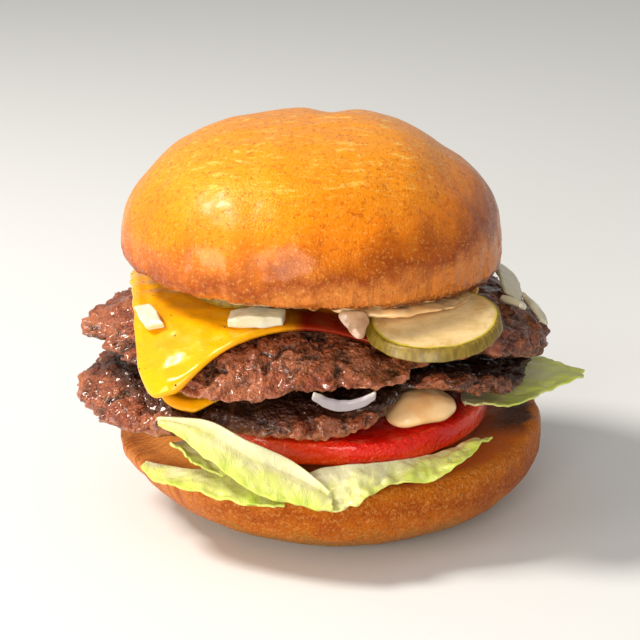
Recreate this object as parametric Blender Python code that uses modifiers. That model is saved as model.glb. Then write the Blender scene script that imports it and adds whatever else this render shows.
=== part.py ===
"""Double cheeseburger in a soft glazed bun, in metres with +Z up.

The origin is under the middle of the bottom bun, and the front of the burger faces -Y.
Plan angles are in degrees from +X, anticlockwise seen from above: 180 is the left and 270 the front.
All sizes here are in millimetres, and MM turns them into metres where a mesh is made.
"""

import math

import bmesh
import bpy
from mathutils import Matrix, Vector, noise

MM = 0.001
CLEARANCE = 0.35  # free space left between pieces that rest on each other

# Bottom bun: a flat round heel, thicker on its right side than on its left
BOTTOM_BUN_HEIGHT = 21.6
BOTTOM_BUN_RADIUS = 56.0
BOTTOM_BUN_FLAT = 33.0
BOTTOM_BUN_WEDGE = 0.0014  # the height grows by this share for each millimetre to the right
BOTTOM_BUN_LIP = 2.2  # how far its right rim stands above the cut face
BOTTOM_BUN_UNDERCUT = (0.155, 0.046)  # the share that the lower crust draws in, on the left and elsewhere
BOTTOM_BUN_UNDERCUT_HEIGHT = 18.8
BOTTOM_BUN_FLARE = 0.026  # the share that its left rim spreads outwards

# Top bun: a dome over a low rounded heel, moved a little to the left
TOP_BUN_RADIUS = 49.3
TOP_BUN_CENTRE = (-5.0, 0.0)
TOP_BUN_CUT = 64.4
TOP_BUN_WIDEST = 68.4
TOP_BUN_TOP = 101.6
TOP_BUN_POWER = 2.2  # 2 makes the dome elliptical, and more makes its shoulders squarer
TOP_BUN_TILT = 1.0  # degrees, with the left side higher
TOP_BUN_SAG = 1.6  # how far the right side of its lower rim hangs down

# Tomato slice
TOMATO_RADIUS = 35.0
TOMATO_THICKNESS = 6.9
TOMATO_CENTRE = (4.6, -11.5)
TOMATO_BOTTOM = 24.5
TOMATO_SLOPE = 0.025  # the slice rises this much for each millimetre to the right
TOMATO_SAG = 0.0012  # how fast its underside curves down to the left

# Dollop of sauce between the tomato and the lower patty
DOLLOP_RADIUS = 9.3
DOLLOP_HEIGHT = 7.6
DOLLOP_CENTRE = (21, -33.5)

# Heights of the patties at the middle of the burger
LOWER_PATTY_BOTTOM = 32.3
LOWER_PATTY_SLOPE = 0.045  # its underside rises this much for each millimetre to the right
LOWER_PATTY_TOP = 41.0
UPPER_PATTY_BOTTOM = 44.1
UPPER_PATTY_TOP = 57.3
UPPER_PATTY_FALL = 8.4  # how far its top falls away at 55 mm from the middle

# Hills and hollows in the patties, as (height, place, width)
DOLLOP_LIFT = (8.0, (24, -35), 10)
LOWER_PATTY_HILL = (4.6, (29, -36), 11)
UPPER_PATTY_LIFT = (4.6, (33, -35), 8.5)
PICKLE_HOLLOW = (4.9, (15.5, -36.5), 10.5)

CHEESE_UPPER_THICKNESS = 1.7
CHEESE_LOWER_THICKNESS = 1.5
CHEESE_ROUNDING = 0.22  # how much the slice's corners are rounded off, from 0 to 1

# Pickle slice at the front right: level under the bun, and bent down past its rim
PICKLE_RADIUS = 16.0
PICKLE_THICKNESS = 2.9
PICKLE_CENTRE = (24.6, -37.0)
PICKLE_HEIGHT = 60.6
PICKLE_SLOPE = (0.07, 0.21)
PICKLE_RISE = 1.9  # how far the hidden half rises above the middle

# Outlines and slopes round the burger, as (plan angle, value) stops
LOWER_PATTY_OUTLINE = [
    (0, 50), (25, 53), (60, 51), (90, 54), (118, 51), (145, 56), (165, 58), (178, 62), (188, 66.5),
    (196, 63), (204, 64), (214, 63), (226, 57), (238, 52), (248, 52.5), (258, 51.5), (270, 51),
    (281, 50.5), (289, 43), (298, 38.5), (305, 48), (318, 50), (335, 51),
]
UPPER_PATTY_OUTLINE = [
    (0, 56), (20, 53), (48, 56), (75, 52), (100, 55), (130, 53), (155, 58), (175, 60), (187, 64.5),
    (196, 58.5), (212, 58), (226, 58), (238, 60), (248, 56), (258, 53), (272, 51), (288, 50),
    (300, 43), (312, 48), (326, 51), (340, 53.5),
]
LOWER_PATTY_SAG = [
    (0, 0.5), (60, 1), (120, 1), (160, 1.5), (190, 1.8), (208, 2.8), (220, 2), (240, 0.6), (262, 0),
    (345, 0),
]
LOWER_PATTY_DROP = [
    (0, 7), (40, 4), (90, 3), (150, 3), (187, 2.6), (212, 4.2), (230, 6), (244, 4.5), (264, 6), (300, 2),
    (335, 6),
]
UPPER_PATTY_SAG = [
    (0, 9.5), (30, 6), (60, 3), (120, 2), (187, 0.4), (225, 2), (246, 1), (268, -7), (286, -5),
    (320, 2), (345, 9),
]
UPPER_PATTY_SHOULDER = [
    (0, 0.98), (30, 1), (90, 1), (150, 1.2), (187, 1.45), (200, 1.3), (217, 1.08), (238, 1.06),
    (252, 0.86), (270, 0.75), (285, 0.8), (300, 0.95), (320, 1), (345, 0.97),
]

# Cheese slices: the corners of the square slice after it melted, and how far each side bows outwards
CHEESE_UPPER_CORNERS = [(-43, -54), (28, -43), (37, 36), (-53, 28)]
CHEESE_UPPER_BOWS = (-14, 1, 0, -3)
CHEESE_BLUNT = 8.0  # how far the front left corner of each slice draws back from the point of the square
CHEESE_CLEARANCE = 0.5
CHEESE_LOWER_CORNERS = [(-38.5, -50.5), (14, -16), (34, 38), (-42, 38)]
CHEESE_LOWER_BOWS = (-6, 2, 2, 2)


def ramp(value):
    """The value where it is positive, else nought."""
    return max(0.0, value)


def around(angle, stops):
    """Value at a plan angle, eased from each stop to the next, all the way round."""
    angle %= 360
    closed = stops + [(stops[0][0] + 360, stops[0][1])]
    for (angle_a, value_a), (angle_b, value_b) in zip(closed, closed[1:]):
        if angle_a <= angle <= angle_b:
            share = (angle - angle_a) / (angle_b - angle_a)
            share = share * share * (3 - 2 * share)
            return value_a + (value_b - value_a) * share
    return stops[0][1]


def hill(x, y, shape):
    """A round hill of this height, at this place, that fades out over its width."""
    height, centre, width = shape
    return height * math.exp(-((x - centre[0]) ** 2 + (y - centre[1]) ** 2) / (2 * width**2))


def polar(x, y):
    """Distance from the burger's axis, and plan angle."""
    return math.hypot(x, y), math.degrees(math.atan2(y, x)) % 360


def lumps(point, size, seed=0.0):
    """Smooth noise from -1 to 1 whose lumps are about this size."""
    return noise.noise(Vector(point) / size + Vector((seed, 2 * seed, -seed)))


# Shared surfaces, from the bottom of the stack to its top


def bottom_bun_top(x, y):
    """The cut face of the bottom bun."""
    return BOTTOM_BUN_HEIGHT * (1 + BOTTOM_BUN_WEDGE * x)


def lower_patty_bottom(x, y):
    """The dollop of sauce lifts the patty at the front right, and its left side sags."""
    r, angle = polar(x, y)
    lift = hill(x, y, DOLLOP_LIFT) + LOWER_PATTY_SLOPE * x
    return LOWER_PATTY_BOTTOM + lift - around(angle, LOWER_PATTY_SAG) * ramp((r - 38) / 22) ** 1.3


def lower_patty_top(x, y):
    r, angle = polar(x, y)
    drop = around(angle, LOWER_PATTY_DROP) * ramp((r - 40) / 20) ** 2
    return LOWER_PATTY_TOP + hill(x, y, LOWER_PATTY_HILL) - drop


def upper_patty_bottom(x, y):
    r, angle = polar(x, y)
    sag = around(angle, UPPER_PATTY_SAG) * ramp((r - 40) / 20) ** 1.5
    return UPPER_PATTY_BOTTOM + hill(x, y, UPPER_PATTY_LIFT) - sag


def upper_patty_top(x, y):
    """A dome that falls away past its shoulder, with a hollow where the pickle presses on it."""
    r, angle = polar(x, y)
    fall = UPPER_PATTY_FALL * ramp((r - 33) / (22 * around(angle, UPPER_PATTY_SHOULDER))) ** 2.8
    return UPPER_PATTY_TOP - fall - hill(x, y, PICKLE_HOLLOW)


def cheese_top(x, y):
    return upper_patty_top(x, y) + CHEESE_CLEARANCE + CHEESE_UPPER_THICKNESS


def top_bun_cut(x, y):
    """The cut face of the top bun, which falls away to the right."""
    right = x - TOP_BUN_CENTRE[0]
    sag = TOP_BUN_SAG * ramp(right / TOP_BUN_RADIUS)
    return TOP_BUN_CUT - math.tan(math.radians(TOP_BUN_TILT)) * right - sag


def pickle_top(x, y):
    """Level towards the middle of the burger, and bending down towards its front."""
    slope_x, slope_y = PICKLE_SLOPE
    back = y - PICKLE_CENTRE[1]
    if back > 0:
        rise = PICKLE_RISE * (1 - math.exp(-slope_y * back / PICKLE_RISE))
    else:
        rise = slope_y * back
    return PICKLE_HEIGHT + slope_x * (x - PICKLE_CENTRE[0]) + rise


# Materials, the collection and the helpers that make objects


def material(name, colour, roughness):
    made = bpy.data.materials.new(name)
    made.use_nodes = True
    shader = made.node_tree.nodes["Principled BSDF"]
    shader.inputs["Base Color"].default_value = (*colour, 1)
    shader.inputs["Roughness"].default_value = roughness
    shader.inputs["Metallic"].default_value = 0
    made.diffuse_color = (*colour, 1)
    return made


def clear_scene():
    for old in list(bpy.data.objects):
        bpy.data.objects.remove(old)


def add_object(name, mesh, finish, anchor=(0, 0, 0)):
    """Links a mesh whose points are in millimetres as an object whose origin is at the anchor."""
    mesh.transform(Matrix.Scale(MM, 4) @ Matrix.Translation(-Vector(anchor)))
    mesh.materials.append(finish)
    made = bpy.data.objects.new(name, mesh)
    made.location = Vector(anchor) * MM
    made.parent = BURGER
    COLLECTION.objects.link(made)
    return made


def finished_mesh(bm, name):
    mesh = bpy.data.meshes.new(name)
    bm.to_mesh(mesh)
    bm.free()
    mesh.shade_smooth()
    return mesh


def evaluated_mesh(made):
    """The object's mesh with its modifiers applied, and the object removed."""
    bpy.context.view_layer.update()
    mesh = bpy.data.meshes.new_from_object(made.evaluated_get(bpy.context.evaluated_depsgraph_get()))
    bpy.data.objects.remove(made)
    return mesh


def turned(profile, steps):
    """A closed mesh turned from a half outline that runs down its outer side, from axis to axis."""
    outline = bpy.data.meshes.new("outline")
    outline.from_pydata([(r, 0, z) for r, z in profile], [(i, i + 1) for i in range(len(profile) - 1)], [])
    made = bpy.data.objects.new("turned", outline)
    COLLECTION.objects.link(made)
    screw = made.modifiers.new("Screw", "SCREW")
    screw.steps = screw.render_steps = steps
    screw.use_merge_vertices = True
    screw.merge_threshold = 0.0001
    screw.use_normal_calculate = True
    return evaluated_mesh(made)


def slab(name, outline, top, bottom, segments, rings, edge_power=5, centre=(0, 0), crag=None):
    """A flat piece of food: a sphere whose rows are spread over its top, its edge and its underside.

    Without an edge power it is a cut slice with an upright side.
    """
    bm = bmesh.new()
    bmesh.ops.create_uvsphere(bm, u_segments=segments, v_segments=rings, radius=1)
    for vert in bm.verts:
        turn = math.atan2(vert.co.y, vert.co.x)
        if edge_power:
            share = min(1.0, math.hypot(vert.co.x, vert.co.y)) ** 0.8
            side = math.copysign((1 - share**edge_power) ** (1 / edge_power), vert.co.z)
        else:
            row = math.acos(min(1.0, abs(vert.co.z))) / (math.pi / 2)
            share = min(1.0, 1.6 * row, 0.94 + 0.07 * row)
            side = math.copysign(min(1.0, 3.6 * (1 - row)), vert.co.z)
        reach = share * outline(math.degrees(turn) % 360)
        x, y = centre[0] + reach * math.cos(turn), centre[1] + reach * math.sin(turn)
        if crag:
            x, y, side = crag(x, y, share, turn, side)
        high, low = top(x, y), bottom(x, y)
        vert.co = (x, y, (high + low) / 2 + side * (high - low) / 2)
    return finished_mesh(bm, name)


def curve_point(points, share):
    """A point on a smooth curve through these points, at this share of the way along."""
    last = len(points) - 1
    part = min(int(share * last), last - 1)
    before = Vector(points[max(part - 1, 0)])
    start, end = Vector(points[part]), Vector(points[part + 1])
    after = Vector(points[min(part + 2, last)])
    handles = start + (end - before) / 6, end - (after - start) / 6
    t = share * last - part
    return (
        start * (1 - t) ** 3
        + handles[0] * 3 * t * (1 - t) ** 2
        + handles[1] * 3 * t**2 * (1 - t)
        + end * t**3
    )


def solid_sheet(name, bm, thickness, finish, anchor, offset):
    """Gives an open sheet its thickness. It is split into triangles first, so that both faces match."""
    bmesh.ops.triangulate(bm, faces=bm.faces)
    made = add_object(name, finished_mesh(bm, name), finish, anchor)
    solidify = made.modifiers.new("Solidify", "SOLIDIFY")
    solidify.thickness = thickness * MM
    solidify.offset = offset
    solidify.use_even_offset = True
    return made


# The pieces


def bun_bottom(crust):
    """A flat round heel, wedge-shaped from left to right, with a soft uneven crust."""
    top, radius = BOTTOM_BUN_HEIGHT, BOTTOM_BUN_RADIUS
    profile = [
        (0, top), (24, top), (40, top), (51, top), (54, top - 0.5), (55.5, top - 2.4), (radius, top - 6),
        (55.6, 11.6), (53.4, 7.8), (49.2, 4.5), (44, 2), (38.6, 0.5), (BOTTOM_BUN_FLAT, 0), (16, 0), (0, 0),
    ]
    mesh = turned(profile, 44)
    undercut_left, undercut = BOTTOM_BUN_UNDERCUT
    for vert in mesh.vertices:
        x, y, z = vert.co
        if z > 0.01:
            left = ramp(-x / radius)
            draw_in = (undercut_left * left + undercut) * ramp(1 - z / BOTTOM_BUN_UNDERCUT_HEIGHT)
            draw_in -= BOTTOM_BUN_FLARE * left * (z / top) ** 3
            swell = 1 + 0.012 * lumps(vert.co, 26, 3) * min(1, z / 8) - draw_in
            lip = BOTTOM_BUN_LIP * ramp((x - 40) / 15) ** 1.5 * z / top
            x, y, z = x * swell, y * swell, z * (1 + BOTTOM_BUN_WEDGE * x) + lip
        vert.co = (x, y, z)
    mesh.shade_smooth()
    return add_object("bun_bottom", mesh, crust)


def bun_top(crust):
    """A tall glazed dome with a seam at the back, soft dimples, and a flat cut underneath."""
    height = TOP_BUN_TOP - TOP_BUN_WIDEST
    dome = []
    for step in range(12):
        turn = math.radians(90 - step * 90 / 12)
        dome.append((
            TOP_BUN_RADIUS * math.cos(turn) ** (2 / TOP_BUN_POWER) if step else 0,
            TOP_BUN_WIDEST + height * math.sin(turn) ** (2 / TOP_BUN_POWER),
        ))
    cut, radius = TOP_BUN_CUT, TOP_BUN_RADIUS
    heel = [
        (radius, TOP_BUN_WIDEST), (48.6, cut + 2), (46.6, cut + 0.4), (43.5, cut), (28, cut + 0.2),
        (0, cut + 0.4),
    ]
    mesh = turned(dome + heel, 48)
    for vert in mesh.vertices:
        x, y, z = vert.co
        rise = ramp((z - TOP_BUN_WIDEST + 8) / (height + 8))
        swell = 1 + 0.016 * lumps(vert.co, 24, 7) * min(1, 3 * rise)
        seam = 2.6 * math.exp(-((x - 4.5) / 4.5) ** 2) * ramp((y - 2) / 40) ** 0.5 * min(1, ramp(z - 76) / 8)
        dimple = hill(x, z, (1.2, (-43, 88), 5)) + hill(x, z, (1.0, (34, 93), 4))
        dimple -= hill(x, z, (1.1, (19, 101), 7))
        sag = TOP_BUN_SAG * ramp(x / radius) * ramp(1 - max(0, z - cut) / (TOP_BUN_WIDEST + 4 - cut))
        vert.co = (x * swell, y * swell, z * (1 + 0.4 * (swell - 1)) - seam - dimple - sag)
    mesh.shade_smooth()
    made = add_object("bun_top", mesh, crust, (0, 0, TOP_BUN_CUT))
    made.location.x += TOP_BUN_CENTRE[0] * MM
    made.location.y += TOP_BUN_CENTRE[1] * MM
    made.rotation_euler.y = math.radians(TOP_BUN_TILT)
    return made


def tomato_bottom(x, y):
    return TOMATO_BOTTOM + TOMATO_SLOPE * x - TOMATO_SAG * max(0, 10 - x) ** 2


def tomato_top(x, y):
    return TOMATO_BOTTOM + TOMATO_SLOPE * x + TOMATO_THICKNESS


def tomato(flesh):
    """A thick slice whose skin bulges a little between its two cut faces."""

    def outline(angle):
        left_front = max(0, math.cos(math.radians(angle - 240)))
        return TOMATO_RADIUS + 0.8 * math.cos(math.radians(5 * angle)) + 1.2 * left_front**2

    mesh = slab("tomato", outline, tomato_top, tomato_bottom, 36, 10, None, TOMATO_CENTRE)
    return add_object("tomato", mesh, flesh, (*TOMATO_CENTRE, TOMATO_BOTTOM))


def patty(name, outline, top, bottom, meat, seed):
    """Smashed meat with a ragged edge. Its pits go inwards only, so its neighbours stay clear."""

    def crag(x, y, share, turn, side):
        edge = share**5
        push = 1.9 * lumps((x, y, 30 * side), 7, seed) + 1.3 * lumps((x, y, 30 * side), 3.4, seed + 5)
        pit = 0.42 * abs(lumps((x, y, 10 * side), 6, seed + 9)) * edge
        return x + push * edge * math.cos(turn), y + push * edge * math.sin(turn), side * (1 - pit)

    mesh = slab(name, lambda angle: around(angle, outline), top, bottom, 66, 12, 5.5, crag=crag)
    return add_object(name, mesh, meat, (0, 0, bottom(0, 0)))


def cheese(name, corners, bows, surface, thickness, columns, finish):
    """A square slice that melted over the patty: the corners run down, and the sides bow between them."""
    bm = bmesh.new()
    bmesh.ops.create_grid(bm, x_segments=columns, y_segments=columns, size=1)
    front_left, front_right, back_right, back_left = (Vector(corner) for corner in corners)
    corner = math.sqrt(1 - CHEESE_ROUNDING)
    for vert in bm.verts:
        across, along = vert.co.x, vert.co.y
        # Rounded corners come from drawing the grid towards a disc where it is far out both ways.
        right = (1 + across * math.sqrt(1 - CHEESE_ROUNDING * along**2) / corner) / 2
        back = (1 + along * math.sqrt(1 - CHEESE_ROUNDING * across**2) / corner) / 2
        point = front_left.lerp(front_right, right).lerp(back_left.lerp(back_right, right), back)
        front_back_bow = bows[2] * back - bows[0] * (1 - back)
        side_bow = bows[1] * right - bows[3] * (1 - right)
        point.y += (1 - across**2) * abs(along) * front_back_bow
        point.x += (1 - along**2) * abs(across) * side_bow
        blunt = CHEESE_BLUNT * (ramp(-across) * ramp(-along)) ** 7
        point -= blunt * front_left.normalized()
        vert.co = (point.x, point.y, surface(point.x, point.y) + CHEESE_CLEARANCE)
    anchor = (0, 0, surface(0, 0))
    return solid_sheet(name, bm, thickness, finish, anchor, 1)


def leaf(name, inner, outer, thickness, cuts, ruffle, waves, finish, seed, taper=0.25):
    """A leaf between its hidden edge and its free edge, which ruffles more the further out it is."""
    bm = bmesh.new()
    bmesh.ops.create_grid(bm, x_segments=cuts[0], y_segments=cuts[1], size=1)

    def point(along, across):
        width = 1 - taper * abs(2 * along - 1) ** 5
        return curve_point(inner, along).lerp(curve_point(outer, along), 0.5 + (across - 0.5) * width)

    step = 0.02
    for vert in bm.verts:
        along, across = (1 + vert.co.x) / 2, (1 + vert.co.y) / 2
        here = point(along, across)
        tangent = point(min(1, along + step), across) - point(max(0, along - step), across)
        outward = point(along, 1) - point(along, 0)
        normal = tangent.cross(outward).normalized()
        wave = math.sin(2 * math.pi * waves * along + seed) + 0.6 * lumps(here, 9, seed)
        here += normal * ruffle * wave * across**1.4
        rest = thickness / 2 + CLEARANCE
        if math.hypot(here.x, here.y) < BOTTOM_BUN_RADIUS - 1:
            here.z = max(here.z, bottom_bun_top(here.x, here.y) + rest)
        vert.co = here
    anchor = tuple((Vector(inner[0]) + Vector(outer[-1])) / 2)
    return solid_sheet(name, bm, thickness, finish, anchor, 0)


def lettuce(green, pale):
    """Pieces of crisp lettuce between the bottom bun and the lower patty."""
    leaf(
        "lettuce_low",
        [(-45.8, -34, 21.6), (-37, -40, 22), (-28, -43.5, 23), (-19, -46.5, 23.5), (-12, -49, 22.8)],
        [(-47.5, -36.5, 20.8), (-41.5, -45.5, 20.1), (-33, -51.6, 20.8), (-21, -57, 20.2), (-11, -59, 19.2)],
        0.9, (14, 4), 0.5, 1.6, green, 1,
    )
    leaf(
        "lettuce_curl",
        [(-39.5, -37, 27), (-35, -39.5, 29), (-29, -41.5, 28.5), (-23, -43, 26)],
        [(-38.6, -45.5, 31.5), (-35.2, -47, 27.8), (-31, -47.6, 25.2), (-25, -49.5, 24)],
        0.9, (9, 4), 0.7, 1.2, pale, 2,
    )
    leaf(
        "lettuce_rib",
        [(-42, -45, 37.6), (-35.6, -47.2, 38.2), (-28.4, -49, 37.6), (-20, -51.2, 33.6),
         (-9.4, -52, 28.6), (-0.4, -56.2, 23.4)],
        [(-41, -47.6, 35.4), (-35, -50, 33.2), (-27.6, -54.5, 28.6), (-18.4, -58, 23.2),
         (-8, -60, 20.4), (0.4, -61, 18.6)],
        1.9, (16, 5), 0.3, 1.3, pale, 3, 0.1,
    )
    leaf(
        "lettuce_front",
        [(-9, -47.8, 24), (-1, -49.8, 26.6), (8, -49.8, 27.4), (16, -47, 27), (24.4, -42.6, 26.8),
         (33, -35.6, 27)],
        [(-8, -54, 22), (-1.5, -57.5, 18.4), (2.8, -59.6, 19.6), (7.4, -57.6, 20.8), (14.5, -52.6, 23.2),
         (25.5, -50.6, 23.6), (34, -45, 26.8), (40.5, -37.5, 31)],
        0.8, (22, 5), 0.7, 2.6, pale, 4, 0.4,
    )
    leaf(
        "lettuce_right",
        [(31.5, -24, 33.3), (33, -17, 33.3), (34, -8, 33.3), (33, 4, 33.2), (31.5, 12, 33)],
        [(39.5, -28.5, 34), (47, -23, 32.6), (55, -14, 32.2), (66, -5, 33.8), (61, 5, 33.6), (56, 12, 33)],
        0.7, (14, 6), 0.3, 2.2, green, 5, 0.4,
    )
    leaf(
        "lettuce_back",
        [(34, 26, 23), (20, 31, 23), (4, 34, 23), (-12, 33, 23), (-27, 28, 22)],
        [(46, 34, 29.5), (27, 51, 26.4), (5, 57.5, 24.5), (-18, 55, 24), (-42, 38, 23)],
        0.9, (18, 5), 1.2, 3.4, green, 6,
    )


def flat_pickle(name, centre, radius, thickness, slope, finish, spin):
    """A round slice with a softly bevelled rim."""
    bm = bmesh.new()
    bmesh.ops.create_cone(bm, cap_ends=True, segments=28, radius1=radius, radius2=radius, depth=thickness)
    for vert in bm.verts:
        vert.co.y *= 1 + 0.05 * math.cos(2 * math.atan2(vert.co.y, vert.co.x) + spin)
    rims = [edge for edge in bm.edges if abs(edge.verts[0].co.z - edge.verts[1].co.z) < thickness / 2]
    bmesh.ops.bevel(bm, geom=rims, offset=0.5, segments=1, affect="EDGES")
    bmesh.ops.translate(bm, verts=bm.verts, vec=(0, 0, -thickness / 2))
    made = add_object(name, finished_mesh(bm, name), finish)
    made.location = Vector(centre) * MM
    made.rotation_euler = (math.atan(slope[1]), -math.atan(slope[0]), 0)
    return made


def pickles(skin):
    """One slice that bends down over the front right of the patty, and two that lie under the bun."""
    bent = slab(
        "pickle_right", lambda angle: PICKLE_RADIUS, pickle_top,
        lambda x, y: pickle_top(x, y) - PICKLE_THICKNESS, 28, 12, None, PICKLE_CENTRE,
    )
    add_object("pickle_right", bent, skin, (*PICKLE_CENTRE, PICKLE_HEIGHT))
    flat_pickle("pickle_left", (-20, -17.5, 63.0), 14.5, 2.8, (0, 0.02), skin, 1.5)
    flat_pickle("pickle_back", (-11, 23, 63.3), 15, 2.8, (0, -0.05), skin, 2.2)


def onion_piece(name, size, centre, turn, finish, bend=0.0, seed=0, slant=0.0):
    """A chip of onion: a small block, bent along its length, with uneven ends and softened edges.

    A slant cuts its ends at an angle.
    """
    length, width, thickness = size
    bm = bmesh.new()
    bmesh.ops.create_cube(bm, size=1)
    along = [edge for edge in bm.edges if abs(edge.verts[0].co.x - edge.verts[1].co.x) > 0.5]
    bmesh.ops.subdivide_edges(bm, edges=along, cuts=4)
    for vert in bm.verts:
        x, y, z = vert.co
        taper = 1 - (0.1 if slant else 0.3) * abs(2 * x) ** 2
        skew = 0.16 * lumps((7 * x, 7 * y, 7 * z), 3, seed)
        vert.co = (length * (x + 0.4 * skew + slant * y), width * (y * taper + skew), thickness * z * taper)
        vert.co.z -= bend * (2 * x) ** 2
    made = add_object(name, finished_mesh(bm, name), finish)
    bevel = made.modifiers.new("Bevel", "BEVEL")
    bevel.width = 0.35 * MM
    bevel.segments = 1
    made.location = Vector(centre) * MM
    made.rotation_euler = [math.radians(degrees) for degrees in turn]
    return made


def onions(flesh):
    """Chopped onion on the cheese, under the top bun, and hanging between the patties."""
    onion_piece("onion_cheese", (9.4, 4.6, 2.2), (-44.9, -28, 57.4), (33, 16, -66), flesh, 0.3, 1, 0.3)
    onion_piece("onion_front", (13.5, 6.0, 3.4), (-18.2, -38.6, 60.6), (10, -4, -8), flesh, 0.5, 2)
    onion_piece("onion_gap", (15, 1.6, 3.0), (2.6, -51.9, 42.7), (14, 2, 5), flesh, -3.2, 3)
    onion_piece("onion_right_1", (17, 7.4, 1.5), (46.4, 2.6, 57.3), (-38, 11, -86), flesh, 0.5, 4)
    onion_piece("onion_right_2", (6.5, 4.6, 1.9), (46.4, -11.0, 55.8), (-26, 8, -40), flesh, 0.3, 5)
    onion_piece("onion_right_3", (12, 4.2, 1.5), (52.9, -4.2, 51.8), (-40, 20, -68), flesh, 0.3, 6)
    onion_piece("onion_back_1", (11, 5.0, 2.6), (20, 43.5, 57.8), (-32, 4, 20), flesh, 0.8, 8)
    onion_piece("onion_back_2", (9, 5.2, 2.4), (-36, 35.5, 59.1), (-24, -16, 34), flesh, 0.4, 9)


def sauce_dollop(finish):
    """Sauce squeezed out between the tomato and the lower patty."""

    def outline(angle):
        return DOLLOP_RADIUS + math.cos(math.radians(3 * angle))

    def bottom(x, y):
        return tomato_top(x, y) + CLEARANCE

    def top(x, y):
        return min(bottom(x, y) + DOLLOP_HEIGHT, lower_patty_bottom(x, y) - CLEARANCE)

    mesh = slab("sauce_dollop", outline, top, bottom, 20, 8, 2.4, DOLLOP_CENTRE)
    return add_object("sauce_dollop", mesh, finish, (*DOLLOP_CENTRE, bottom(*DOLLOP_CENTRE)))


def sauce_top(finish):
    """Sauce under the top bun, spread over the pickle and the cheese, and showing along its front."""
    centre = (13, -23)

    def bottom(x, y):
        return max(cheese_top(x, y), pickle_top(x, y)) + CLEARANCE

    outline = [
        (0, 22), (60, 15), (120, 16), (160, 17), (200, 17), (230, 18.5), (270, 17.6), (300, 18),
        (330, 22),
    ]
    pool = slab(
        "sauce_top", lambda angle: around(angle, outline), lambda x, y: top_bun_cut(x, y) - CLEARANCE,
        bottom, 32, 8, 3, centre,
    )
    return add_object("sauce_top", pool, finish, (*centre, TOP_BUN_CUT))


clear_scene()
COLLECTION = bpy.data.collections.new("Double cheeseburger")
bpy.context.scene.collection.children.link(COLLECTION)
BURGER = bpy.data.objects.new("burger", None)
COLLECTION.objects.link(BURGER)

CRUST = material("bun crust", (0.72, 0.30, 0.06), 0.35)
MEAT = material("grilled beef", (0.13, 0.05, 0.03), 0.5)
CHEESE = material("melted cheese", (0.95, 0.55, 0.03), 0.3)
SAUCE = material("burger sauce", (0.85, 0.55, 0.32), 0.3)
TOMATO = material("tomato", (0.62, 0.03, 0.01), 0.2)
ONION = material("onion", (0.86, 0.84, 0.72), 0.3)
PICKLE = material("pickle", (0.62, 0.60, 0.20), 0.25)
LETTUCE = material("lettuce", (0.45, 0.62, 0.13), 0.4)
LETTUCE_PALE = material("pale lettuce", (0.74, 0.78, 0.42), 0.4)

bun_bottom(CRUST)
lettuce(LETTUCE, LETTUCE_PALE)
tomato(TOMATO)
sauce_dollop(SAUCE)
patty("patty_lower", LOWER_PATTY_OUTLINE, lower_patty_top, lower_patty_bottom, MEAT, 11)
cheese(
    "cheese_lower", CHEESE_LOWER_CORNERS, CHEESE_LOWER_BOWS,
    lower_patty_top, CHEESE_LOWER_THICKNESS, 10, CHEESE,
)
patty("patty_upper", UPPER_PATTY_OUTLINE, upper_patty_top, upper_patty_bottom, MEAT, 23)
cheese(
    "cheese_upper", CHEESE_UPPER_CORNERS, CHEESE_UPPER_BOWS,
    upper_patty_top, CHEESE_UPPER_THICKNESS, 15, CHEESE,
)
pickles(PICKLE)
onions(ONION)
sauce_top(SAUCE)
bun_top(CRUST)
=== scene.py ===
import math

import bmesh
import bpy
import numpy as np
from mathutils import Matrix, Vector, noise
from mathutils.bvhtree import BVHTree


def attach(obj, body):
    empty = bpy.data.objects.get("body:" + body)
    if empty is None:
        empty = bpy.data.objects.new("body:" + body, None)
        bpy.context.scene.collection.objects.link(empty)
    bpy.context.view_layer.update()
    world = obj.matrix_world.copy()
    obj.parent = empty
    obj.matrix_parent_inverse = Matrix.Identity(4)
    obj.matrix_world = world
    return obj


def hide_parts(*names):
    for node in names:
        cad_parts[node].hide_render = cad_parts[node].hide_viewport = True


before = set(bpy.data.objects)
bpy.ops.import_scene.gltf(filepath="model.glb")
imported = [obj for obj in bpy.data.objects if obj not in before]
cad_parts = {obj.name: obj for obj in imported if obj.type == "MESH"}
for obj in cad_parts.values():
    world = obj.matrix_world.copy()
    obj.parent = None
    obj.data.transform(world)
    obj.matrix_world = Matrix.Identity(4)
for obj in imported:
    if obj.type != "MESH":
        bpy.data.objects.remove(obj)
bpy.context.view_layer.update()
mm = 0.001
scene = bpy.context.scene


# Camera, floor and light

studio = {
    "elevation": 18.0,  # degrees above the floor
    "distance": 500.0,  # mm from the middle of the burger
    "target": (-2.87, 0.0, 47.3),
    "lens": 107.72,
    "floorSize": 4.0,  # metres
    "floorColour": (0.84, 0.84, 0.83),
    "worldColour": (1.0, 0.985, 0.96),
    "worldStrength": 0.4,
    "lamps": {  # name: direction from the burger, distance, size (metres), watts, colour
        "keyLamp": ((-0.60, -0.06, 0.77), 0.95, 0.24, 8.2, (1.0, 0.96, 0.89)),
        "frontLamp": ((-0.25, -0.94, 0.24), 1.1, 0.50, 5.2, (1.0, 0.97, 0.92)),
        "sideLamp": ((-0.86, -0.50, 0.12), 1.0, 0.35, 3.4, (1.0, 0.96, 0.90)),
    },
}


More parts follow.
